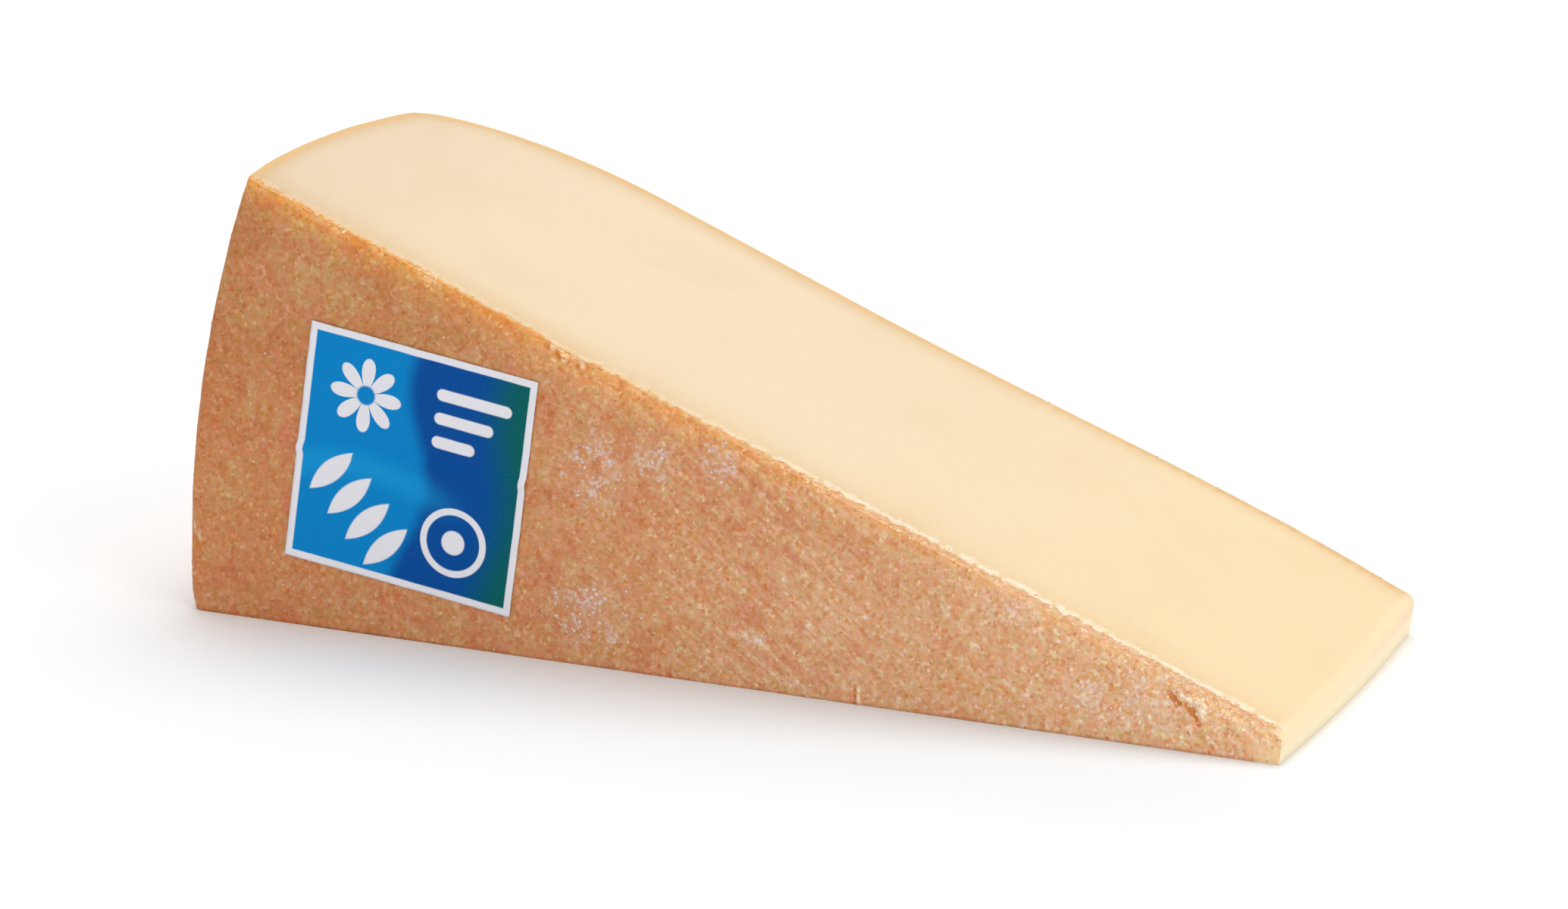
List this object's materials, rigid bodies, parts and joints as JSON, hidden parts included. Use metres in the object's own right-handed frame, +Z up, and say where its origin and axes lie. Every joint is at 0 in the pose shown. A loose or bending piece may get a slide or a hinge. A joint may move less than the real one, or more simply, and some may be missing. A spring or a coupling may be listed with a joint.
{
  "type": "cheese wedge",
  "caption": "Wedge of hard mountain cheese lying on a cut face, brown rind on its flat side, rim and far side, with a square paper label.",
  "frame": {"origin": "middle of the wedge's box, on the surface that it lies on", "axes": "+X from the tall rim end to the thin end, +Y from the labelled side to the far side, +Z up"},
  "size_m": [0.2367, 0.0892, 0.0921],
  "materials": {
    "cheese": "brushed brown rind with fine grains, and smooth pale yellow paste on the cut faces",
    "label_paper": "coated paper printed in plain fields of blue and green with a white border"
  },
  "bodies": {
    "root": {"cheese_wedge": "cheese", "label": "label_paper"}
  },
  "joints": []
}
